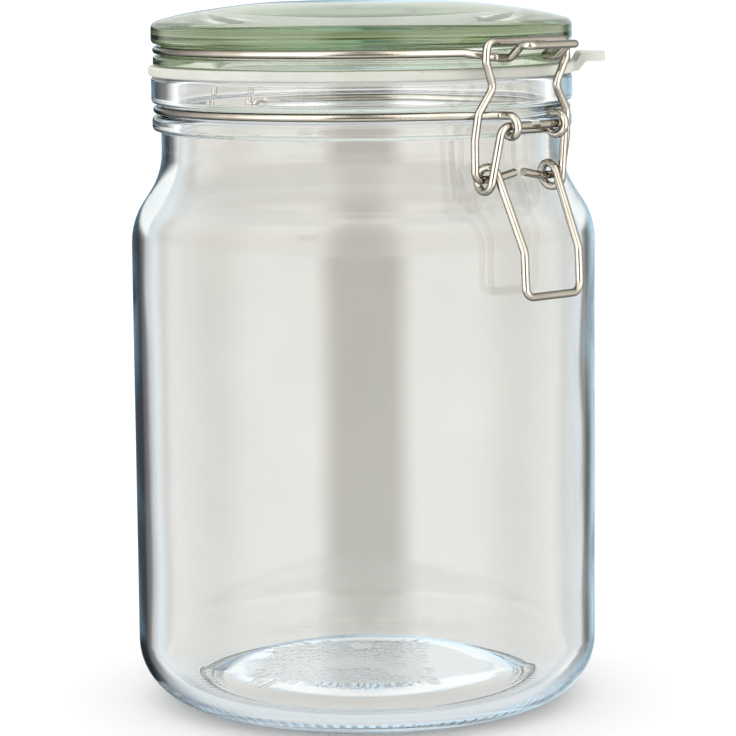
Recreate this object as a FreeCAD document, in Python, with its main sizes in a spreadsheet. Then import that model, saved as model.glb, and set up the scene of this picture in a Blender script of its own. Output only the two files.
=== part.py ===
import FreeCAD, Part
import math
import os
import re
import Sketcher
from FreeCAD import Placement, Rotation, Vector

# Bail clamp jar: a glass jar with a glass lid that a bent wire clasp pulls down on a rubber ring.
# Millimetres, +Z up. The origin is the centre of the standing face. The clasp is on the -Y side,
# the lid's hinge on the +Y side, and everything but the ring's pull tab is mirrored about X = 0.

SIZES = [
    # jar glass
    ("body_radius", 65.0, "outside of the straight body"),
    ("rim_height", 176.2, "top face of the rim, where the seal lies"),
    ("body_wall", 4.2, "glass thickness of the body"),
    ("shoulder_step", 8.8, "how much narrower than the body the neck is, on the radius"),
    ("neck_wall", 4.8, "glass thickness of the neck"),
    ("neck_drop", 27.1, "depth of the shoulder slope's upper end below the rim"),
    ("shoulder_drop", 13.4, "height of the shoulder slope"),
    ("shoulder_bend", 20.0, "bends of the shoulder slope at the neck and at the body"),
    ("slope_lead", 0.3, "drop of the slope's inside below its outside, in wall thicknesses"),
    ("heel_bend", 17.0, "bend from the body into the standing face"),
    ("stand_width", 3.4, "width of the flat standing ring"),
    ("push_up", 4.2, "height of the hollow under the base"),
    ("push_up_slope", 8.0, "width of the slope around that hollow"),
    ("base_glass", 4.6, "glass thickness of the base"),
    ("rim_step", 2.6, "how far the rim band stands out of the neck"),
    ("rim_band", 7.7, "height of the rim band above the wire groove"),
    ("bead_step", 2.4, "how far the bead below the wire groove stands out of the neck"),
    ("bead_height", 4.2, "height of the bead below the wire groove"),
    ("glass_round", 1.3, "rounding of the glass bands"),
    # wires
    ("wire_diameter", 2.2, "all four wires"),
    ("ring_step", 1.0, "how far the middle line of both wire rings lies outside the neck"),
    ("groove_margin", 1.1, "height of each wire groove beyond the wire"),
    ("groove_fit", 0.05, "gap between a wire ring and the floor of its groove"),
    ("eye_radius", 2.8, "middle line of an eye around a pin"),
    ("wire_bend", 2.6, "usual bend of a wire, on its middle line"),
    ("end_gap", 3.2, "gap between two facing wire ends"),
    # seal and lid
    ("seal_thickness", 2.8, "height of the rubber ring"),
    ("seal_step", 3.3, "how far the rubber ring reaches outside the neck"),
    ("seal_grip", 0.05, "gap between the rubber ring and the lid's plug"),
    ("seal_round", 0.25, "rounding of the rubber ring's outside, in ring thicknesses"),
    ("tab_reach", 8.2, "how far the pull tab stands out of the rubber ring"),
    ("tab_width", 21.0, "width of the pull tab"),
    ("tab_thickness", 2.5, "thickness of the pull tab"),
    ("tab_rise", 3.0, "step of the pull tab above the ring's lower face"),
    ("tab_ramp", 0.8, "length of the ramp up to the tab's lower face, in rises"),
    ("tab_lead", 0.4, "how much nearer the ring the ramp's upper corner lies, in rises"),
    ("tab_inset", 0.1, "offset of the ramp's foot and head from the ring's outside, in rises"),
    ("tab_lift", 0.15, "height of the tab's root over the rim, in ring thicknesses"),
    ("tab_corner", 0.3, "rounding of the tab's end, in tab widths"),
    ("tab_angle", 47.0, "turn of the pull tab from the clasp, in degrees"),
    ("plug_gap", 1.2, "gap between the lid's plug and the mouth"),
    ("plug_depth", 1.4, "how far the plug reaches into the mouth"),
    ("plug_taper", 0.8, "narrowing of the plug towards its end"),
    ("plug_width", 5.0, "width of the plug's lower face"),
    ("plug_flank", 2.5, "width of the slope from that face up to the lid's underside"),
    ("lid_step", 2.5, "how far the lid reaches outside the neck, above its wire groove"),
    ("skirt_step", 2.0, "how far it reaches outside the neck, below its wire groove"),
    ("skirt_height", 2.7, "height of the lid below its wire groove"),
    ("lid_band", 5.9, "height of the lid's edge above its wire groove"),
    ("lid_dome", 5.6, "rise of the lid's top over its edge"),
    ("crown_drop", 0.06, "fall of the dome at half the lid's radius, in domes"),
    ("crown_bend", 2.4, "bend of the dome there, in lid radii"),
    ("flank_start", 0.85, "where the dome turns down to the edge, in lid radii"),
    ("flank_rise", 0.42, "height of the dome there, in domes"),
    ("lid_round", 2.4, "rounding of the lid's upper edge"),
    ("lid_thickness", 10.6, "glass thickness in the middle of the lid"),
    ("lid_hollow", 1.12, "fall of the lid's underside towards the plug"),
    # clasp
    ("pin_step", 8.8, "distance of the lever's pins outside the wire rings"),
    ("eye_spread", 8.8, "half the distance between the front eyes"),
    ("nose_step", 16.0, "distance of the nose outside the wire rings"),
    ("nose_spread", 9.0, "half the width of the nose"),
    ("nose_dip", 1.45, "drop of the nose's legs below the lid's ring"),
    ("nose_rise", 3.4, "rise of the nose above its dip"),
    ("nose_tip", 3.0, "length of the nose's level end"),
    ("nose_turn", 1.9, "where the nose's legs turn out from the ring, in wire diameters"),
    ("nose_fall", 0.62, "share of the way to that turn at which the legs start to dip"),
    ("coil_tuck", 0.1, "how far the lever's coils reach behind the front of the neck"),
    ("coil_drop", 14.1, "height of the lever's pins over its coils"),
    ("coil_radius", 3.2, "middle line of a coil of the lever"),
    ("coil_spread", 13.7, "half the distance between the outer turns of the coils"),
    ("coil_gap", 0.5, "gap between the two turns of a coil"),
    ("pin_shoulder", 1.5, "length of a pin outside its eye's middle, in wire diameters"),
    ("handle_step", 8.0, "distance of the handle's end outside the body"),
    ("handle_drop", 30.7, "height of the coils over the handle's end"),
    ("handle_knee", 12.0, "length of the handle's upright end"),
    ("handle_lean", 0.6, "how much nearer the jar the knee is than the handle's end"),
    ("handle_spread", 10.4, "half the width of the handle"),
    ("lever_bend", 2.86, "bends of the lever, on its middle line"),
    ("bail_step", 6.6, "distance of the bail's crossbar outside the wire rings"),
    ("crossbar_rise", 2.9, "height of the bail's crossbar over the lid's ring"),
    ("bail_spread", 15.3, "half the width of the bail at its crossbar"),
    ("bail_waist", 12.0, "half the width of the bail at its waist"),
    ("bail_hip", 17.6, "half the width of the bail below its waist"),
    ("bail_foot", 16.5, "half the width of the bail at the coils"),
    ("bail_tuck", 0.66, "how much narrower the bail's hip is at its upper end"),
    ("foot_lift", 0.6, "rise of the bail's foot in its coil, in wire diameters"),
    ("hip_low", 0.29, "height of the hip's lower end, as a share of the bail's arm"),
    ("hip_top", 0.48, "height of the hip's upper end"),
    ("waist_at", 0.67, "height of the waist"),
    ("shoulder_at", 0.86, "height of the arm's last bend below the crossbar"),
    # lid hinge
    ("hinge_step", 6.3, "distance of the hinge pins outside the wire rings"),
    ("hinge_spread", 13.4, "half the distance between the rear eyes"),
    ("hinge_overhang", 1.6, "length of a hinge pin outside its eye's middle, in diameters"),
    ("leg_spread", 9.0, "half the distance between the lid wire's rear legs"),
    ("leg_gap", 2.5, "distance of those legs' upper ends outside the rubber ring"),
]

# Radii and heights that several pieces share, as expressions of the sizes above.
NECK = "(body_radius - shoulder_step)"
MOUTH = f"({NECK} - neck_wall)"
RIM = f"({NECK} + rim_step)"
BEAD = f"({NECK} + bead_step)"
RING = f"({NECK} + ring_step)"
SEAL = f"({NECK} + seal_step)"
LID = f"({NECK} + lid_step)"
SKIRT = f"({NECK} + skirt_step)"
PLUG = f"({MOUTH} - plug_gap)"
PIN_REACH = f"({RING} + pin_step)"
BAIL_REACH = f"({RING} + bail_step)"
HINGE_REACH = f"({RING} + hinge_step)"
COIL_REACH = f"({NECK} + coil_radius + wire_diameter / 2 - coil_tuck)"
GROOVE_FLOOR = f"({RING} - wire_diameter / 2 - groove_fit)"
GROOVE = "(wire_diameter + groove_margin)"
NECK_GROOVE_TOP = "(rim_height - rim_band)"
NECK_GROOVE_LOW = f"({NECK_GROOVE_TOP} - {GROOVE})"
NECK_RING = f"({NECK_GROOVE_TOP} - {GROOVE} / 2)"
PIN_HEIGHT = f"({NECK_RING} - eye_radius)"
COIL_HEIGHT = f"({PIN_HEIGHT} - coil_drop)"
SEAT = "(rim_height + seal_thickness)"
LID_GROOVE_LOW = f"({SEAT} + skirt_height)"
LID_GROOVE_TOP = f"({LID_GROOVE_LOW} + {GROOVE})"
LID_RING = f"({LID_GROOVE_LOW} + {GROOVE} / 2)"
LID_EDGE = f"({LID_GROOVE_TOP} + lid_band)"
CROSSBAR = f"({LID_RING} + crossbar_rise)"

# How far a wire turns around a pin, and the straight runs that the turn is built on.
FRONT_EYE_TURN = 1.5 * math.pi
FRONT_EYE_RUNS = 6
REAR_EYE_TURN = 1.75 * math.pi
REAR_EYE_RUNS = 7
COIL_RUNS = 8
# A bend takes at most this share of the shorter run beside it.
BEND_SHARE = 0.46
# Two measures nearer than this are the same.
NEAR = 1e-4

doc = FreeCAD.newDocument("BailClampJar")
sheet = doc.addObject("Spreadsheet::Sheet", "Sizes")
for row, (alias, number, meaning) in enumerate(SIZES, start=1):
    sheet.set(f"A{row}", meaning)
    sheet.set(f"B{row}", str(number))
    sheet.setAlias(f"B{row}", alias)
doc.recompute()


def bound(expression):
    """The expression with each size name turned into a reference to its cell."""
    return re.sub(r"[a-z]+_[a-z_]+", lambda name: "Sizes." + name.group(0), expression)


def size(expression):
    """The number that an expression of size names gives, in millimetres."""
    return float(sheet.evalExpression(bound(expression)))


# ---------------------------------------------------------------- turned glass and rubber

def new_body(name):
    body = doc.addObject("PartDesign::Body", name)
    body.Label = name
    return body


def section_sketch(body, name, corners):
    """A closed outline in the body's XZ plane through corners of (x, z, bend or None)."""
    plane = next(item for item in body.Origin.OriginFeatures if item.Role == "XZ_Plane")
    sketch = body.newObject("Sketcher::SketchObject", name)
    sketch.AttachmentSupport = (plane, [""])
    sketch.MapMode = "FlatFace"
    points = [Vector(size(x), size(z), 0) for x, z, _ in corners]
    count = len(points)
    trims = []
    for i, (_, _, bend) in enumerate(corners):
        back = (points[i - 1] - points[i]).normalize()
        ahead = (points[(i + 1) % count] - points[i]).normalize()
        half = back.getAngle(ahead) / 2
        radius = size(bend) if bend else 0.0
        reach = radius / math.tan(half)
        centre = points[i] + (back + ahead).normalize() * (radius / math.sin(half))
        trims.append((points[i] + back * reach, points[i] + ahead * reach, centre, radius))
    for i in range(count):
        sketch.addGeometry(Part.LineSegment(trims[i][1], trims[(i + 1) % count][0]), False)
    for i, (x, z, bend) in enumerate(corners):
        before = (i - 1) % count
        if bend:
            arrive, leave, centre, radius = trims[i]
            turns_left = (arrive - centre).cross(leave - centre).z > 0
            first, last = (arrive, leave) if turns_left else (leave, arrive)
            start = math.atan2(first.y - centre.y, first.x - centre.x)
            sweep = (first - centre).getAngle(last - centre)
            circle = Part.Circle(centre, Vector(0, 0, 1), radius)
            arc = sketch.addGeometry(Part.ArcOfCircle(circle, start, start + sweep), False)
            corner = sketch.addGeometry(Part.Point(points[i]), True)
            sketch.addConstraint(Sketcher.Constraint("PointOnObject", corner, 1, before))
            sketch.addConstraint(Sketcher.Constraint("PointOnObject", corner, 1, i))
            ends = (1, 2) if turns_left else (2, 1)
            sketch.addConstraint(Sketcher.Constraint("Tangent", before, 2, arc, ends[0]))
            sketch.addConstraint(Sketcher.Constraint("Tangent", arc, ends[1], i, 1))
            bend_index = sketch.addConstraint(Sketcher.Constraint("Radius", arc, radius))
            sketch.setExpression(f"Constraints[{bend_index}]", bound(bend))
            place = (corner, 1)
        else:
            sketch.addConstraint(Sketcher.Constraint("Coincident", before, 2, i, 1))
            place = (i, 1)
        for kind, axis, expression in (("DistanceX", -2, x), ("DistanceY", -1, z)):
            if expression == "0":
                sketch.addConstraint(Sketcher.Constraint("PointOnObject", *place, axis))
                continue
            rule = Sketcher.Constraint(kind, -1, 1, *place, size(expression))
            index = sketch.addConstraint(rule)
            sketch.setExpression(f"Constraints[{index}]", bound(expression))
    return sketch


def turned(body, name, corners):
    """A full revolution of an outline about the vertical axis."""
    sketch = section_sketch(body, name + "Outline", corners)
    turn = body.newObject("PartDesign::Revolution", name + "Turn")
    turn.Profile = sketch
    turn.ReferenceAxis = (sketch, ["V_Axis"])
    turn.Angle = 360.0
    sketch.Visibility = False
    return turn


def jar_glass():
    body = new_body("jar_glass")
    inside = "(body_radius - body_wall)"
    slope_top = "(rim_height - neck_drop)"
    slope_low = "(rim_height - neck_drop - shoulder_drop)"
    stand = "(body_radius - heel_bend - stand_width)"
    bead_low = f"{NECK_GROOVE_LOW} - bead_height"
    turned(body, "Jar", [
        ("0", "push_up", None),
        (f"{stand} - push_up_slope", "push_up", "push_up_slope"),
        (stand, "0", None),
        ("body_radius", "0", "heel_bend"),
        ("body_radius", slope_low, "shoulder_bend"),
        (NECK, slope_top, "shoulder_bend"),
        (NECK, bead_low, "glass_round / 2"),
        (BEAD, bead_low, "glass_round"),
        (BEAD, NECK_GROOVE_LOW, "glass_round"),
        (GROOVE_FLOOR, NECK_GROOVE_LOW, "glass_round / 2"),
        (GROOVE_FLOOR, NECK_GROOVE_TOP, "glass_round / 2"),
        (RIM, NECK_GROOVE_TOP, "glass_round"),
        (RIM, "rim_height", "glass_round"),
        (MOUTH, "rim_height", "glass_round"),
        (MOUTH, f"{slope_top} - neck_wall * slope_lead", "shoulder_bend + neck_wall"),
        (inside, f"{slope_low} - body_wall * slope_lead", "shoulder_bend - body_wall"),
        (inside, "base_glass", "heel_bend - body_wall"),
        (stand, "base_glass", "push_up_slope"),
        (f"{stand} - push_up_slope", "push_up + base_glass", "push_up_slope"),
        ("0", "push_up + base_glass", None),
    ])
    return body


def lid_glass():
    body = new_body("lid_glass")
    top = f"({LID_EDGE} + lid_dome)"
    under = f"({top} - lid_thickness)"
    plug_end = "rim_height - plug_depth"
    plug_low = f"({PLUG} - plug_taper)"
    turned(body, "Lid", [
        ("0", top, None),
        (f"{LID} / 2", f"{top} - lid_dome * crown_drop", f"{LID} * crown_bend"),
        (f"{LID} * flank_start", f"{LID_EDGE} + lid_dome * flank_rise", LID),
        (LID, LID_EDGE, "lid_round"),
        (LID, LID_GROOVE_TOP, "glass_round"),
        (GROOVE_FLOOR, LID_GROOVE_TOP, "glass_round / 2"),
        (GROOVE_FLOOR, LID_GROOVE_LOW, "glass_round / 2"),
        (SKIRT, LID_GROOVE_LOW, "glass_round / 2"),
        (SKIRT, SEAT, "glass_round / 2"),
        (PLUG, SEAT, None),
        (plug_low, plug_end, "glass_round / 2"),
        (f"{plug_low} - plug_width", plug_end, "glass_round"),
        (f"{plug_low} - plug_width - plug_flank", f"{under} - lid_hollow", "lid_round"),
        ("0", under, None),
    ])
    return body


def gasket():
    body = new_body("gasket")
    inner = f"{PLUG} + seal_grip"
    outer_round = "seal_thickness * seal_round"
    turned(body, "Seal", [
        (inner, "rim_height", None),
        (SEAL, "rim_height", outer_round),
        (SEAL, SEAT, outer_round),
        (inner, SEAT, None),
    ])
    end = f"({SEAL} + tab_reach)"
    ramp = f"({SEAL} + tab_rise * tab_ramp)"
    low = "(rim_height + tab_rise)"
    high = f"{low} + tab_thickness"
    root = f"{SEAL} - seal_thickness"
    root_low = "rim_height + seal_thickness * tab_lift"
    bend = "tab_thickness / 2"
    profile = section_sketch(body, "TabOutline", [
        (root, root_low, None),
        (f"{SEAL} + tab_rise * tab_inset", root_low, bend),
        (ramp, low, bend),
        (end, low, None),
        (end, high, None),
        (f"{ramp} - tab_rise * tab_lead", high, bend),
        (f"{SEAL} - tab_rise * tab_inset", SEAT, bend),
        (root, SEAT, None),
    ])
    pad = body.newObject("PartDesign::Pad", "Tab")
    pad.Profile = profile
    pad.setExpression("Length", bound("tab_width"))
    pad.SideType = "Symmetric"
    profile.Visibility = False
    doc.recompute()
    tip = size(end)
    tips = [
        f"Edge{i}" for i, edge in enumerate(pad.Shape.Edges, start=1)
        if all(abs(vertex.X - tip) < NEAR for vertex in edge.Vertexes)
        and abs(abs(edge.tangentAt(edge.FirstParameter).z) - 1) < NEAR
    ]
    rounding = body.newObject("PartDesign::Fillet", "TabRounding")
    rounding.Base = (pad, tips)
    rounding.setExpression("Radius", bound("tab_width * tab_corner"))
    body.Placement = Placement(Vector(), Rotation(Vector(0, 0, 1), 1.0))
    body.setExpression("Placement.Rotation.Angle", bound("(tab_angle - 90) * 1 deg"))
    return body


# ---------------------------------------------------------------- bent wires

def rounded(points, bend):
    """Edges of straight runs through the points, joined by tangent arcs of at most this bend."""
    edges = []
    start = points[0]
    for before, corner, after in zip(points, points[1:], points[2:]):
        back = before - corner
        ahead = after - corner
        half = back.getAngle(ahead) / 2
        run = min(back.Length, ahead.Length)
        radius = min(bend, BEND_SHARE * run * math.tan(half))
        reach = radius / math.tan(half)
        back.normalize()
        ahead.normalize()
        arrive = corner + back * reach
        leave = corner + ahead * reach
        middle = corner + (back + ahead).normalize() * (radius / math.sin(half) - radius)
        edges.append(Part.LineSegment(start, arrive).toShape())
        edges.append(Part.Arc(arrive, middle, leave).toShape())
        start = leave
    edges.append(Part.LineSegment(start, points[-1]).toShape())
    return edges


def tangent_turn(spread, reach):
    """Angle from the Y axis at which a line through (spread, reach) leaves the wire ring."""
    return math.atan2(spread, reach) + math.acos(size(RING) / math.hypot(spread, reach))


def ring_point(turn, side, height):
    """A point of a wire ring, turned from the clasp side (-1) or the hinge side (+1) to +X."""
    radius = size(RING)
    return Vector(radius * math.sin(turn), side * radius * math.cos(turn), height)


def ring_arc(front_turn, rear_turn, height):
    middle = ring_point(math.pi / 2, 1, height)
    ends = ring_point(rear_turn, 1, height), ring_point(front_turn, -1, height)
    return Part.Arc(ends[0], middle, ends[1]).toShape()


def mirrored(edges):
    return [edge.mirror(Vector(), Vector(1, 0, 0)) for edge in edges]


def loop(centre, outward, radius, start, turn, sides, spread):
    """Corners around a loop in a plane of constant X, turning over or under the pin's centre.

    Angles run from the outward direction up; spread gives X at the loop's start and end.
    """
    step = turn / sides
    corners = []
    for i in range(sides):
        angle = start + (i + 0.5) * step
        reach = radius / math.cos(step / 2)
        x = spread[0] + (spread[1] - spread[0]) * (i + 0.5) / sides
        y = centre.y + outward * reach * math.cos(angle)
        corners.append(Vector(x, y, centre.z + reach * math.sin(angle)))
    return corners


def bent_wire(name, edges):
    """A round wire swept along the edges."""
    path = doc.addObject("Part::Feature", name + "_path")
    path.Shape = Part.Wire(Part.__sortEdges__(edges))
    path.Visibility = False
    first = path.Shape.OrderedEdges[0]
    begin = path.Shape.OrderedVertexes[0].Point
    along = first.tangentAt(first.getParameterByLength(0))
    section = doc.addObject("Part::Circle", name + "_section")
    section.setExpression("Radius", bound("wire_diameter / 2"))
    section.Placement = Placement(begin, Rotation(Vector(0, 0, 1), along))
    section.Visibility = False
    sweep = doc.addObject("Part::Sweep", name)
    sweep.Label = name
    sweep.Sections = [section]
    sweep.Spine = (path, [f"Edge{i + 1}" for i in range(len(path.Shape.Edges))])
    sweep.Solid = True
    return sweep


def neck_wire():
    height = size(NECK_RING)
    eye = size("eye_radius")
    bend = size("wire_bend")
    skew = size("wire_diameter / 4")

    front = Vector(0, -size(PIN_REACH), size(PIN_HEIGHT))
    front_x = size("eye_spread")
    front_turn = tangent_turn(front_x + skew, -front.y - eye)
    front_loop = loop(front, -1, eye, math.pi / 2, -FRONT_EYE_TURN, FRONT_EYE_RUNS,
                      (front_x + skew, front_x - skew))
    bar = Vector(front_x - skew - bend, front.y + eye, front.z - eye / 2)
    front_side = [ring_point(front_turn, -1, height),
                  Vector(front_x + skew, front.y + eye, height),
                  *front_loop, bar, Vector(0, bar.y, bar.z)]

    rear = Vector(0, size(HINGE_REACH), size(PIN_HEIGHT))
    rear_x = size("hinge_spread")
    rear_turn = tangent_turn(rear_x + 2 * skew, rear.y - eye)
    rear_loop = loop(rear, 1, eye, math.pi / 2, -REAR_EYE_TURN, REAR_EYE_RUNS,
                     (rear_x + 2 * skew, rear_x - 2 * skew))
    rear_side = [ring_point(rear_turn, 1, height),
                 Vector(rear_x + 2 * skew, rear.y - eye, height), *rear_loop]
    half = rounded(rear_side, bend) + [ring_arc(front_turn, rear_turn, height)]
    half += rounded(front_side, bend)
    return bent_wire("neck_wire", half + mirrored(half))


def lid_wire():
    height = size(LID_RING)
    bend = size("wire_bend")
    dip = height - size("nose_dip")
    nose = dip + size("nose_rise")
    spread = size("nose_spread")
    reach = size(f"{RING} + nose_step")
    turn_out = size(f"{RING} + wire_diameter * nose_turn")
    front_turn = tangent_turn(spread, turn_out)
    start = ring_point(front_turn, -1, height)
    corner = Vector(spread, -turn_out, height)
    front_side = [start, start + (corner - start) * size("nose_fall"),
                  Vector(spread, -turn_out, dip),
                  Vector(spread, -size(f"{BAIL_REACH} + wire_diameter"), dip),
                  Vector(spread, size("nose_tip") - reach, nose), Vector(spread, -reach, nose),
                  Vector(0, -reach, nose)]

    leg_x = size("leg_spread")
    leg_y = size(f"{SEAL} + leg_gap")
    rear_turn = tangent_turn(leg_x, leg_y)
    pin_y = size(HINGE_REACH)
    pin_z = size(PIN_HEIGHT)
    pin_end = size("hinge_spread + wire_diameter * hinge_overhang")
    rear_side = [ring_point(rear_turn, 1, height), Vector(leg_x, leg_y, height),
                 Vector(leg_x, pin_y, pin_z), Vector(pin_end, pin_y, pin_z)]
    half = rounded(rear_side, bend) + [ring_arc(front_turn, rear_turn, height)]
    half += rounded(front_side, bend)
    return bent_wire("lid_wire", half + mirrored(half))


def lever_wire():
    pin = Vector(0, -size(PIN_REACH), size(PIN_HEIGHT))
    coil = Vector(0, -size(COIL_REACH), size(COIL_HEIGHT))
    radius = size("coil_radius")
    arm_x = size("coil_spread")
    handle_x = size("handle_spread")
    end = Vector(handle_x, -size("body_radius + handle_step"), coil.z - size("handle_drop"))
    knee = end + Vector(0, size("handle_lean"), size("handle_knee"))

    def tangent(point, side):
        """Angle on the coil where a line to the point touches it, from the outward direction."""
        out, up = -(point.y - coil.y), point.z - coil.z
        return math.atan2(up, out) + side * math.acos(radius / math.hypot(out, up))

    arrive = tangent(pin, -1)
    leave = tangent(knee, 1) - 2 * math.pi
    turns = loop(coil, -1, radius, arrive, leave - arrive, COIL_RUNS,
                 (arm_x, arm_x - size("wire_diameter + coil_gap")))
    corner_x = size("eye_spread + wire_diameter * pin_shoulder")
    half = rounded([Vector(size("end_gap / 2"), pin.y, pin.z), Vector(corner_x, pin.y, pin.z),
                    *turns, knee, end, Vector(0, end.y, end.z)], size("lever_bend"))
    return bent_wire("lever_wire", half + mirrored(half))


def bail_wire():
    coil = Vector(0, -size(COIL_REACH), size(COIL_HEIGHT))
    top = Vector(0, -size(BAIL_REACH), size(CROSSBAR))

    def on_arm(x, share):
        """A point of the bail's arm at a share of its height."""
        return coil + (top - coil) * share + Vector(size(x), 0, 0)

    inner_x = size("coil_spread - coil_gap - wire_diameter * 2")
    foot = size("wire_diameter * foot_lift")
    half = rounded([Vector(size("end_gap / 2"), coil.y, coil.z + foot),
                    Vector(inner_x, coil.y, coil.z),
                    on_arm("bail_foot", 0),
                    on_arm("bail_hip", size("hip_low")),
                    on_arm("bail_hip - bail_tuck", size("hip_top")),
                    on_arm("bail_waist", size("waist_at")),
                    on_arm("bail_spread", size("shoulder_at")),
                    on_arm("bail_spread", 1),
                    top], size("wire_bend"))
    return bent_wire("bail_wire", half + mirrored(half))


nodes = [jar_glass(), neck_wire(), lid_glass(), gasket(), lid_wire(), lever_wire(), bail_wire()]
doc.recompute()

for item in doc.Objects:
    if {"Invalid", "Error"} & set(item.State):
        raise RuntimeError(f"{item.Name} failed: {item.State}")
for node in nodes:
    if node.Shape.isNull() or not node.Shape.isValid() or len(node.Shape.Solids) != 1:
        raise RuntimeError(f"{node.Label} isn't one valid solid")

os.makedirs("parts", exist_ok=True)
for node in nodes:
    node.Shape.exportStep(f"parts/{node.Label}.step")
    box = node.Shape.BoundBox
    print(f"{node.Label:12s} volume {node.Shape.Volume:10.1f} mm3  x {box.XMin:7.2f} {box.XMax:7.2f}"
          f"  y {box.YMin:7.2f} {box.YMax:7.2f}  z {box.ZMin:7.2f} {box.ZMax:7.2f}")
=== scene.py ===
import math

import bmesh
import bpy
from mathutils import Matrix, Vector, noise


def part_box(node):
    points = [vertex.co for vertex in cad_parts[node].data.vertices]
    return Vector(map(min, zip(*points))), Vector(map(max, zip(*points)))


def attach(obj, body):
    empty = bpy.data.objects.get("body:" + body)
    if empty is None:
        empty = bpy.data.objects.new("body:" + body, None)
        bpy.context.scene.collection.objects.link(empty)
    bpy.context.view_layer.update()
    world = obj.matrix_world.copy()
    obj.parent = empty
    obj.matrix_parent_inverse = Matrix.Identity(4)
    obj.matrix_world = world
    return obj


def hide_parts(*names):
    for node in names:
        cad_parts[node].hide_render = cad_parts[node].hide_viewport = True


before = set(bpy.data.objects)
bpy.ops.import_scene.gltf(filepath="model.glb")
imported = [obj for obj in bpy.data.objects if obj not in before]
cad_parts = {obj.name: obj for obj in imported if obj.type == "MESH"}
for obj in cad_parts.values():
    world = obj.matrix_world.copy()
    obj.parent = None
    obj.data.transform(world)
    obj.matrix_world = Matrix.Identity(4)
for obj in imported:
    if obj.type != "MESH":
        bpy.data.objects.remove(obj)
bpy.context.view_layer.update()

# Bail clamp jar. Outlines are in millimetres, and MM turns them into the frame's metres.
MM = 0.001
ROUND_STEPS = 384
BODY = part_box("jar_glass")[1].x / MM
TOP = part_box("lid_glass")[1].z / MM
# The glass stops this far short of the seal's faces, so no two faces lie in one plane.
SEAL_GAP = 0.06
SEAL_THICKNESS = 2.8
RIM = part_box("gasket")[0].z / MM - SEAL_GAP
SEAT = RIM + SEAL_THICKNESS + 2 * SEAL_GAP


# ---------------------------------------------------------------- outlines

SUPPORT = 0.35
LONG_STEP = 7.0
FINE_STEP = 0.5
SMALL_BEND = 2.0
BEND_STEP = math.radians(7)
SMALL_BEND_STEP = math.radians(14)
ON_AXIS = 1e-6

# Corners (x, z, bend): out along the underside, up the outside, over the rim, down the inside.
FOOT_INNER = 44.6
HEEL_BEND = 17.0
INSIDE = 60.8
JAR = [
    (0, 4.2, 0), (36.6, 4.2, 24), (FOOT_INNER, 0, 0.5), (BODY, 0, HEEL_BEND),
    (BODY, 135.7, 20), (56.2, 149.1, 20), (56.2, 161.0, 0.65), (58.6, 161.0, 1.3),
    (58.6, 165.2, 1.3), (56.05, 165.2, 0.65), (56.05, 168.5, 0.65), (58.8, 168.5, 1.3),
    (58.8, RIM, 1.3), (51.4, RIM, 1.3), (51.4, 147.66, 24.8), (INSIDE, 134.44, 15.8),
    (INSIDE, 4.6, 12.8), (FOOT_INNER, 4.6, 16), (36.6, 8.8, 18), (0, 8.8, 0),
]
# Corners out along the dome, down the outside past the wire's groove, and back under the plug.
LID = [
    (0, TOP, 0), (29.35, TOP - 0.336, 140.9), (49.9, 193.252, 58.7), (58.7, 190.9, 2.4),
    (58.7, 185.0, 1.3), (56.05, 185.0, 0.65), (56.05, 181.7, 0.65), (58.2, 181.7, 0.65),
    (58.2, SEAT, 0.65), (50.2, SEAT, 0.3), (49.4, 174.8, 0.65), (44.4, 174.8, 1.3),
    (41.9, 184.78, 2.4), (0, 185.9, 0),
]


def bend_arc(before, here, after, bend):
    """Points round the corner at here, from the run before it to the run after it."""
    back = before - here
    ahead = after - here
    half = back.angle(ahead) / 2
    reach = bend / math.tan(half)
    centre = here + (back.normalized() + ahead.normalized()).normalized() * (
        bend / math.sin(half))
    first = here + back.normalized() * reach - centre
    turn = math.pi - 2 * half
    side = 1 if first.x * (here - centre).y - first.y * (here - centre).x > 0 else -1
    count = max(3, math.ceil(turn / (BEND_STEP if bend > SMALL_BEND else SMALL_BEND_STEP)))
    arc = []
    for k in range(count + 1):
        angle = side * turn * k / count
        arc.append(centre + Vector((
            first.x * math.cos(angle) - first.y * math.sin(angle),
            first.x * math.sin(angle) + first.y * math.cos(angle))))
    return arc


def outline(corners, fine_start=False):
    """Points along the corners, with arcs at the bends.

    A straight run gets a point just inside both its ends, which keeps its shading flat, and
    points between them. fine_start puts the first run's points close, for a relief.
    """
    points = [Vector(corner[:2]) for corner in corners]
    pieces = [
        bend_arc(points[i - 1], points[i], points[i + 1], bend) if bend else [points[i]]
        for i, (_, _, bend) in enumerate(corners)]
    run = list(pieces[0])
    for piece in pieces[1:]:
        start, end = run[-1], piece[0]
        gap = (end - start).length
        if gap > 4 * SUPPORT:
            along = (end - start).normalized()
            run.append(start + along * SUPPORT)
            inner = int(gap / (FINE_STEP if fine_start and start.x < 1 else LONG_STEP))
            run.extend(start.lerp(end, k / inner) for k in range(1, inner))
            run.append(end - along * SUPPORT)
        run.extend(piece)
    return run


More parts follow.
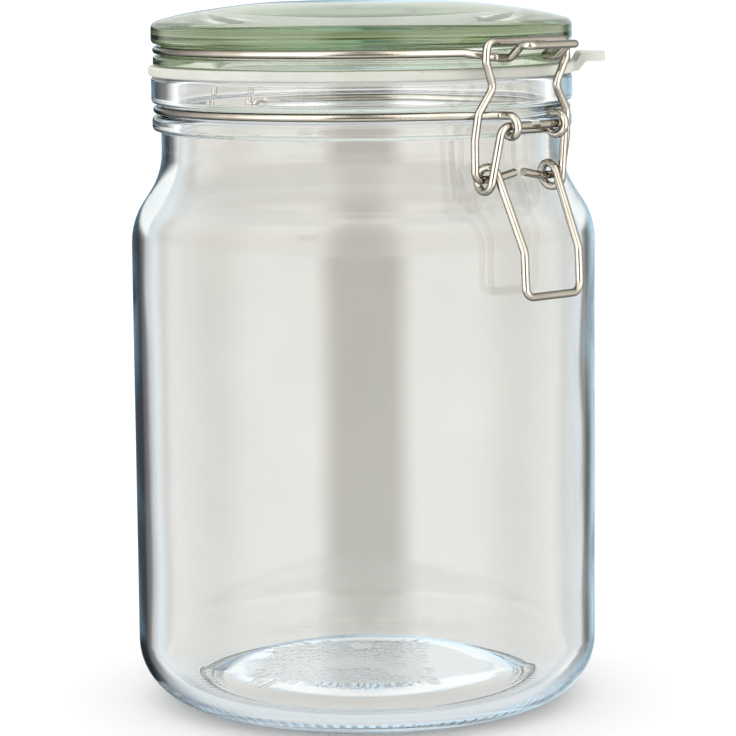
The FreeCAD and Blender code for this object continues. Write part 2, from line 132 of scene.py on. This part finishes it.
def lathe(name, run, shape=None):
    """A closed turned solid from an outline that starts and ends on the axis."""
    mesh = bmesh.new()
    rings = []
    for point in run:
        if point.x < ON_AXIS:
            rings.append([mesh.verts.new((0, 0, point.y * MM))])
            continue
        ring = []
        for k in range(ROUND_STEPS):
            angle = 2 * math.pi * k / ROUND_STEPS
            radius, height = shape(point, angle) if shape else point
            ring.append(mesh.verts.new((
                radius * MM * math.sin(angle), -radius * MM * math.cos(angle), height * MM)))
        rings.append(ring)
    for first, second in zip(rings, rings[1:]):
        for k in range(ROUND_STEPS):
            n = (k + 1) % ROUND_STEPS
            if len(first) == 1:
                mesh.faces.new((first[0], second[k], second[n]))
            elif len(second) == 1:
                mesh.faces.new((first[n], first[k], second[0]))
            else:
                mesh.faces.new((first[n], first[k], second[k], second[n]))
    bmesh.ops.recalc_face_normals(mesh, faces=mesh.faces[:])
    data = bpy.data.meshes.new(name)
    mesh.to_mesh(data)
    mesh.free()
    for face in data.polygons:
        face.use_smooth = True
    made = bpy.data.objects.new(name, data)
    bpy.context.scene.collection.objects.link(made)
    return made


# ---------------------------------------------------------------- relief of the jar's glass

UNDERSIDE_TOP = 6.0
STIPPLE_DEPTH = 0.7
# The patch: its turn, the place of its middle, its half sizes, and how ragged its edge is.
TURN_COS, TURN_SIN = 0.725, 0.688
PATCH_PLACE = (6, -2)
PATCH_HALVES = (21, 24)
PATCH_FADE = 3
RAGGED_DEPTH, RAGGED_SCALE = 5, 0.12
BARE_SCALE, BARE_SHIFT, BARE_FADE = 0.07, Vector((3.1, 1.7, 0.4)), (-0.25, -0.1)
COARSE_SCALE, FINE_SCALE, FINE_SHARE = 0.75, 1.7, 0.7
GRAIN_FADE = (-0.15, 0.45)
# The knurls under the foot, from its middle out to the start of the heel.
KNURLS = 96
KNURL_DEPTH = 0.22
KNURL_EDGE = BODY - HEEL_BEND + 3
KNURL_FADE = (0.3, 1.2)
# The slow waves of the inner wall, which fade in above the heel and out below the shoulder.
WAVE_DEPTH = 0.22
WAVE_SCALE_ROUND, WAVE_SCALE_UP = 0.03, 0.022
WAVE_IN, WAVE_OUT = (25, 45), (110, 130)
SAME_RADIUS = 0.01


def smooth(value, low, high):
    share = min(1.0, max(0.0, (value - low) / (high - low)))
    return share * share * (3 - 2 * share)


def stipple(x, y):
    """Depth, 0 to 1, of a ragged square patch of grains with bare spots in it."""
    place = Vector((x, y, 0))
    ragged = RAGGED_DEPTH * noise.noise(place * RAGGED_SCALE)
    depth = smooth(noise.noise(place * BARE_SCALE + BARE_SHIFT), *BARE_FADE)
    offsets = (x * TURN_COS - y * TURN_SIN + PATCH_PLACE[0],
               x * TURN_SIN + y * TURN_COS + PATCH_PLACE[1])
    for offset, half in zip(offsets, PATCH_HALVES):
        depth *= 1 - smooth(abs(offset) + ragged, half, half + PATCH_FADE)
    grain = noise.noise(place * COARSE_SCALE) + FINE_SHARE * noise.noise(place * FINE_SCALE)
    return depth * smooth(grain, *GRAIN_FADE)


def jar_shape(point, angle):
    """The outline at one angle: a knurled foot, a stippled underside and an uneven inside."""
    radius, height = point
    x, y = radius * math.sin(angle), -radius * math.cos(angle)
    if height < UNDERSIDE_TOP and radius < FOOT_INNER:
        height += STIPPLE_DEPTH * stipple(x, y)
    elif height < KNURL_FADE[1] and radius < KNURL_EDGE:
        height += KNURL_DEPTH * (0.5 - 0.5 * math.cos(KNURLS * angle)) * (
            1 - smooth(height, *KNURL_FADE))
    elif abs(radius - INSIDE) < SAME_RADIUS and WAVE_IN[0] < height < WAVE_OUT[1]:
        wave = noise.noise(Vector((
            x * WAVE_SCALE_ROUND, y * WAVE_SCALE_ROUND, height * WAVE_SCALE_UP)))
        radius += WAVE_DEPTH * wave * smooth(height, *WAVE_IN) * (1 - smooth(height, *WAVE_OUT))
    return radius, height


jar = lathe("jar_glass_body", outline(JAR, fine_start=True), shape=jar_shape)
lid = lathe("lid_glass_cover", outline(LID))


# ---------------------------------------------------------------- node helpers


def add(tree, kind, inputs=(), values=None, **settings):
    """A node with some of its inputs linked, some set, and its own settings."""
    made = tree.nodes.new("ShaderNode" + kind)
    for key, value in settings.items():
        setattr(made, key, value)
    for key, value in (values or {}).items():
        made.inputs[key].default_value = value
    for key, source in dict(inputs).items():
        tree.links.new(source, made.inputs[key])
    return made


def color_ramp(tree, source, stops):
    made = add(tree, "ValToRGB", {"Fac": source})
    elements = made.color_ramp.elements
    while len(elements) > 1:
        elements.remove(elements[-1])
    for i, (place, color) in enumerate(stops):
        stop = elements[0] if i == 0 else elements.new(place)
        stop.position = place
        stop.color = (*color, 1)
    return made.outputs["Color"]


# ---------------------------------------------------------------- materials

# Noise lies mostly between these two values.
NOISE_RANGE = (0.3, 0.7)
WHITE = (1, 1, 1)


def new_material(name, **values):
    """A material and its tree and shader, with the values that are the same all over it."""
    material = bpy.data.materials.new(name)
    material.use_nodes = True
    tree = material.node_tree
    shader = tree.nodes["Principled BSDF"]
    for key, value in values.items():
        shader.inputs[key.replace("_", " ")].default_value = value
    return material, tree, shader


def noise_texture(tree, scale, detail=2.0):
    where = add(tree, "TexCoord")
    return add(tree, "TexNoise", {"Vector": where.outputs["Object"]},
               {"Scale": scale, "Detail": detail}).outputs["Fac"]


def vary_roughness(tree, shader, source, low, high):
    """Roughness from low to high where the noise is low to high."""
    made = add(tree, "MapRange", {"Value": source}, {
        "From Min": NOISE_RANGE[0], "From Max": NOISE_RANGE[1], "To Min": low, "To Max": high})
    tree.links.new(made.outputs["Result"], shader.inputs["Roughness"])


def painted_facing_ramp(tree, stops):
    """Painted light and shade: colours from a surface seen square on (0) to one seen edge on
    (1).
    """
    facing = add(tree, "LayerWeight", values={"Blend": 0.5})
    return color_ramp(tree, facing.outputs["Facing"], stops)


def multiply_colors(tree, shader, first, second):
    made = add(tree, "Mix", {"A": first, "B": second}, {"Factor": 1.0},
               data_type="RGBA", blend_type="MULTIPLY")
    tree.links.new(made.outputs["Result"], shader.inputs["Base Color"])


def add_bump(tree, shader, source, strength, distance):
    made = add(tree, "Bump", {"Height": source}, {"Strength": strength, "Distance": distance})
    tree.links.new(made.outputs["Normal"], shader.inputs["Normal"])


def glass(name, edge, absorb, density, wave):
    """Glass with painted shade that darkens it edge on, with faint smears and a slow ripple
    left by the mould.
    """
    material, tree, shader = new_material(name, IOR=1.5, Transmission_Weight=1.0)
    # The facing ramp paints shade into the colour edge on, toward the edge colour; the noise
    # ramp gives faint smears.
    multiply_colors(
        tree, shader, painted_facing_ramp(tree, [(0.5, WHITE), (0.92, edge)]),
        color_ramp(tree, noise_texture(tree, 45.0), [
            (0.35, (0.975, 0.98, 0.985)), (0.65, WHITE)]))
    vary_roughness(tree, shader, noise_texture(tree, 90.0, 4.0), 0.0, 0.012)
    add_bump(tree, shader, noise_texture(tree, 28.0, 1.0), wave, 0.001)
    volume = add(tree, "VolumeAbsorption", values={"Color": (*absorb, 1), "Density": density})
    tree.links.new(volume.outputs["Volume"], tree.nodes["Material Output"].inputs["Volume"])
    return material


def rubber():
    """Milky seal rubber: slightly yellowed in patches, with a fine moulded grain."""
    material, tree, shader = new_material(
        "seal_rubber", Transmission_Weight=0.1, IOR=1.42, Subsurface_Weight=0.4,
        Subsurface_Radius=(0.004, 0.004, 0.003))
    patches = color_ramp(tree, noise_texture(tree, 60.0, 4.0), [
        (0.35, (0.66, 0.66, 0.59)), (0.65, (0.74, 0.74, 0.69))])
    tree.links.new(patches, shader.inputs["Base Color"])
    vary_roughness(tree, shader, noise_texture(tree, 300.0), 0.38, 0.58)
    add_bump(tree, shader, noise_texture(tree, 1400.0), 0.25, 0.0002)
    return material


def steel():
    """Drawn steel wire: warm, with a painted highlight square on and painted shade edge on,
    slightly dulled in places.
    """
    material, tree, shader = new_material("steel_wire", Metallic=1.0)
    # The facing ramp paints a bright highlight square on and dark shade edge on; the noise ramp
    # dulls it in places.
    multiply_colors(
        tree, shader,
        painted_facing_ramp(tree, [
            (0.06, (0.78, 0.735, 0.65)), (0.34, (0.41, 0.375, 0.32)),
            (0.60, (0.09, 0.08, 0.066)), (0.9, (0.04, 0.035, 0.028))]),
        color_ramp(tree, noise_texture(tree, 140.0, 5.0), [
            (0.35, (0.86, 0.84, 0.81)), (0.6, WHITE)]))
    vary_roughness(tree, shader, noise_texture(tree, 420.0, 4.0), 0.05, 0.13)
    add_bump(tree, shader, noise_texture(tree, 1800.0), 0.12, 0.00015)
    return material


# edge is the painted shade colour each glass takes when seen edge on.
clear_glass = glass("clear_glass", edge=(0.50, 0.62, 0.70), absorb=(0.80, 0.90, 0.94),
                    density=3.0, wave=0.2)
green_glass = glass("green_glass", edge=(0.62, 0.68, 0.58), absorb=(0.74, 0.80, 0.66),
                    density=36.0, wave=0.1)
seal_rubber = rubber()
steel_wire = steel()
jar.data.materials.append(clear_glass)
lid.data.materials.append(green_glass)
for piece, body, node, kind in (
        (jar, "jar", "jar_glass", "clear_glass"), (lid, "lid", "lid_glass", "green_glass")):
    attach(piece, body)
    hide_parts(node)
for node, material in (
        ("neck_wire", steel_wire), ("lid_wire", steel_wire), ("lever_wire", steel_wire),
        ("bail_wire", steel_wire), ("gasket", seal_rubber)):
    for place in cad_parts[node].material_slots:
        place.material = material


# ---------------------------------------------------------------- floor

FLOOR_HALF = 40.0
FLOOR_DROP = 0.0002
data = bpy.data.meshes.new("floor")
data.from_pydata(
    [(x * FLOOR_HALF, y * FLOOR_HALF, 0) for x, y in ((-1, -1), (1, -1), (1, 1), (-1, 1))],
    [], [(0, 1, 2, 3)])
floor = bpy.data.objects.new("floor", data)
bpy.context.scene.collection.objects.link(floor)
floor.data.materials.append(new_material(
    "pale_floor", Base_Color=(0.93, 0.93, 0.93, 1), Roughness=0.9)[0])
floor.location.z = -FLOOR_DROP
# Glass and reflections leave the floor out, because its edge would show as a hard line.
floor.visible_glossy = False
floor.visible_transmission = False


# ---------------------------------------------------------------- the room as a world

# The camera stands this many degrees round from the front, and the room is built around that.
PHOTO_SIDE = math.radians(-43.5)
to_camera = Vector((math.sin(PHOTO_SIDE), -math.cos(PHOTO_SIDE), 0))
to_right = Vector((-to_camera.y, to_camera.x, 0))
ROOM_STRENGTH = 1.3
PANEL_STRENGTH = 2.2
# Rises of a direction (its z) over which one part of the room turns into the next.
BELOW_TO_LEVEL = (-0.62, -0.35)
LEVEL_TO_ABOVE = (0.02, 0.10)
LEFT_TO_RIGHT = (-0.02, 0.02)

world = bpy.data.worlds.new("studio")
bpy.context.scene.world = world
world.use_nodes = True
room = world.node_tree
room.nodes.clear()


def dot(source, vector):
    made = add(room, "VectorMath", {0: source}, {1: vector}, operation="DOT_PRODUCT")
    return made.outputs["Value"]


def as_share(source):
    """Turns -1 to 1 into 0 to 1."""
    return add(room, "Math", {0: source}, {1: 0.5, 2: 0.5}, operation="MULTIPLY_ADD").outputs[0]


def past(source, low, high):
    """0 where the source is under low, 1 over high, and smooth between."""
    made = add(room, "MapRange", {"Value": source}, {"From Min": low, "From Max": high},
               interpolation_type="SMOOTHSTEP")
    return made.outputs["Result"]


def blended(factor, low, high):
    made = add(room, "Mix", {"Factor": factor, "A": low, "B": high}, data_type="RGBA")
    return made.outputs["Result"]


def background(strength, color=None):
    made = add(room, "Background", {"Color": color} if color else (), {"Strength": strength})
    if not color:
        made.inputs["Color"].default_value = (*WHITE, 1)
    return made.outputs[0]


def mixed(factor, low, high):
    return add(room, "MixShader", {0: factor, 1: low, 2: high}).outputs[0]


def around(degrees):
    """The share of a direction that many degrees round from the camera's side."""
    return 0.5 + 0.5 * math.cos(math.radians(degrees))


direction = add(room, "TexCoord").outputs["Generated"]
rise = add(room, "SeparateXYZ", {0: direction}).outputs["Z"]
level_part = add(room, "VectorMath", {0: direction}, {1: (1, 1, 0)}, operation="MULTIPLY")
heading = add(room, "VectorMath", {0: level_part.outputs[0]}, operation="NORMALIZE").outputs[0]
camera_share = as_share(dot(heading, to_camera))
right_side = dot(heading, to_right)

# Two soft panels, about 20 to 70 degrees either side of the camera, and a dark gap between.
PANEL_STOPS = [
    (around(132), (0.60, 0.60, 0.59)),
    (around(80), (0.64, 0.64, 0.63)),
    (around(60), (0.97, 0.97, 0.96)),
    (around(26), (1.0, 1.0, 0.99)),
    (around(14), (0.07, 0.062, 0.05)),
    (1.0, (0.05, 0.045, 0.035)),
]
# Dark strips far behind the jar, wider on the left, give its edges their dark lines.
level_left = color_ramp(room, camera_share, [
    (0.0, (0.13, 0.20, 0.26)),
    (around(173), (0.09, 0.165, 0.225)),
    (around(167), (0.022, 0.026, 0.03)),
    (around(147), (0.025, 0.025, 0.027)),
    (around(140), (0.30, 0.30, 0.29)),
] + PANEL_STOPS)
level_right = color_ramp(room, camera_share, [
    (0.0, (0.33, 0.45, 0.53)),
    (around(168), (0.35, 0.46, 0.53)),
    (around(158), (0.22, 0.27, 0.29)),
    (around(151), (0.06, 0.06, 0.055)),
    (around(145), (0.06, 0.06, 0.055)),
    (around(140), (0.40, 0.40, 0.38)),
] + PANEL_STOPS)
level = blended(past(right_side, *LEFT_TO_RIGHT), level_left, level_right)
above = color_ramp(room, camera_share, [
    (0.0, (0.43, 0.44, 0.43)),
    (around(150), (0.46, 0.47, 0.455)),
    (around(90), (0.55, 0.55, 0.54)),
    (around(50), (0.80, 0.80, 0.78)),
    (around(20), (0.75, 0.74, 0.72)),
    (1.0, (0.20, 0.19, 0.17)),
])
below = color_ramp(room, camera_share, [
    (0.0, (0.33, 0.35, 0.36)),
    (1.0, (0.38, 0.38, 0.37)),
])
panels = blended(past(rise, *LEVEL_TO_ABOVE),
                 blended(past(rise, *BELOW_TO_LEVEL), below, level), above)
# What shows straight through the glass: a pale grey sweep that turns white overhead.
through = color_ramp(room, as_share(rise), [
    (0.0, (0.66, 0.67, 0.66)),
    (0.40, (0.60, 0.59, 0.545)),
    (0.47, (0.56, 0.54, 0.48)),
    (0.52, (0.66, 0.65, 0.60)),
    (0.62, (0.9, 0.9, 0.88)),
    (1.0, (1.0, 1.0, 1.0)),
])

# The camera and matt surfaces see plain white, glass the sweep, and reflections the panels.
path = add(room, "LightPath").outputs
plain = background(ROOM_STRENGTH)
seen = mixed(path["Is Transmission Ray"], plain, background(1.0, through))
seen = mixed(path["Glossy Depth"], seen, background(PANEL_STRENGTH, panels))
seen = mixed(path["Diffuse Depth"], seen, plain)
add(room, "OutputWorld", {"Surface": seen})


# ---------------------------------------------------------------- camera

# Thick glass passes light on many times, and stopping early turns its heel black.
MAX_BOUNCES = 24
GLASS_BOUNCES = 16
CAMERA_PLACE = (-0.6079, -0.6406, 0.2124)
CAMERA_HEADING, CAMERA_TILT, CAMERA_ROLL = -43.56, 90 - 7.697, -0.57
CAMERA_LENS, CAMERA_SENSOR, CAMERA_REACH = 154.1, 36.0, 200.0

scene = bpy.context.scene
scene.view_settings.view_transform = "Standard"
scene.cycles.max_bounces = MAX_BOUNCES
scene.cycles.glossy_bounces = GLASS_BOUNCES
scene.cycles.transmission_bounces = GLASS_BOUNCES

camera = bpy.data.objects.new("camera", bpy.data.cameras.new("camera"))
scene.collection.objects.link(camera)
camera.data.lens = CAMERA_LENS
camera.data.sensor_width = CAMERA_SENSOR
camera.data.clip_end = CAMERA_REACH
camera.matrix_world = (
    Matrix.Translation(CAMERA_PLACE)
    @ Matrix.Rotation(math.radians(CAMERA_HEADING), 4, "Z")
    @ Matrix.Rotation(math.radians(CAMERA_TILT), 4, "X")
    @ Matrix.Rotation(math.radians(CAMERA_ROLL), 4, "Z"))
scene.camera = camera
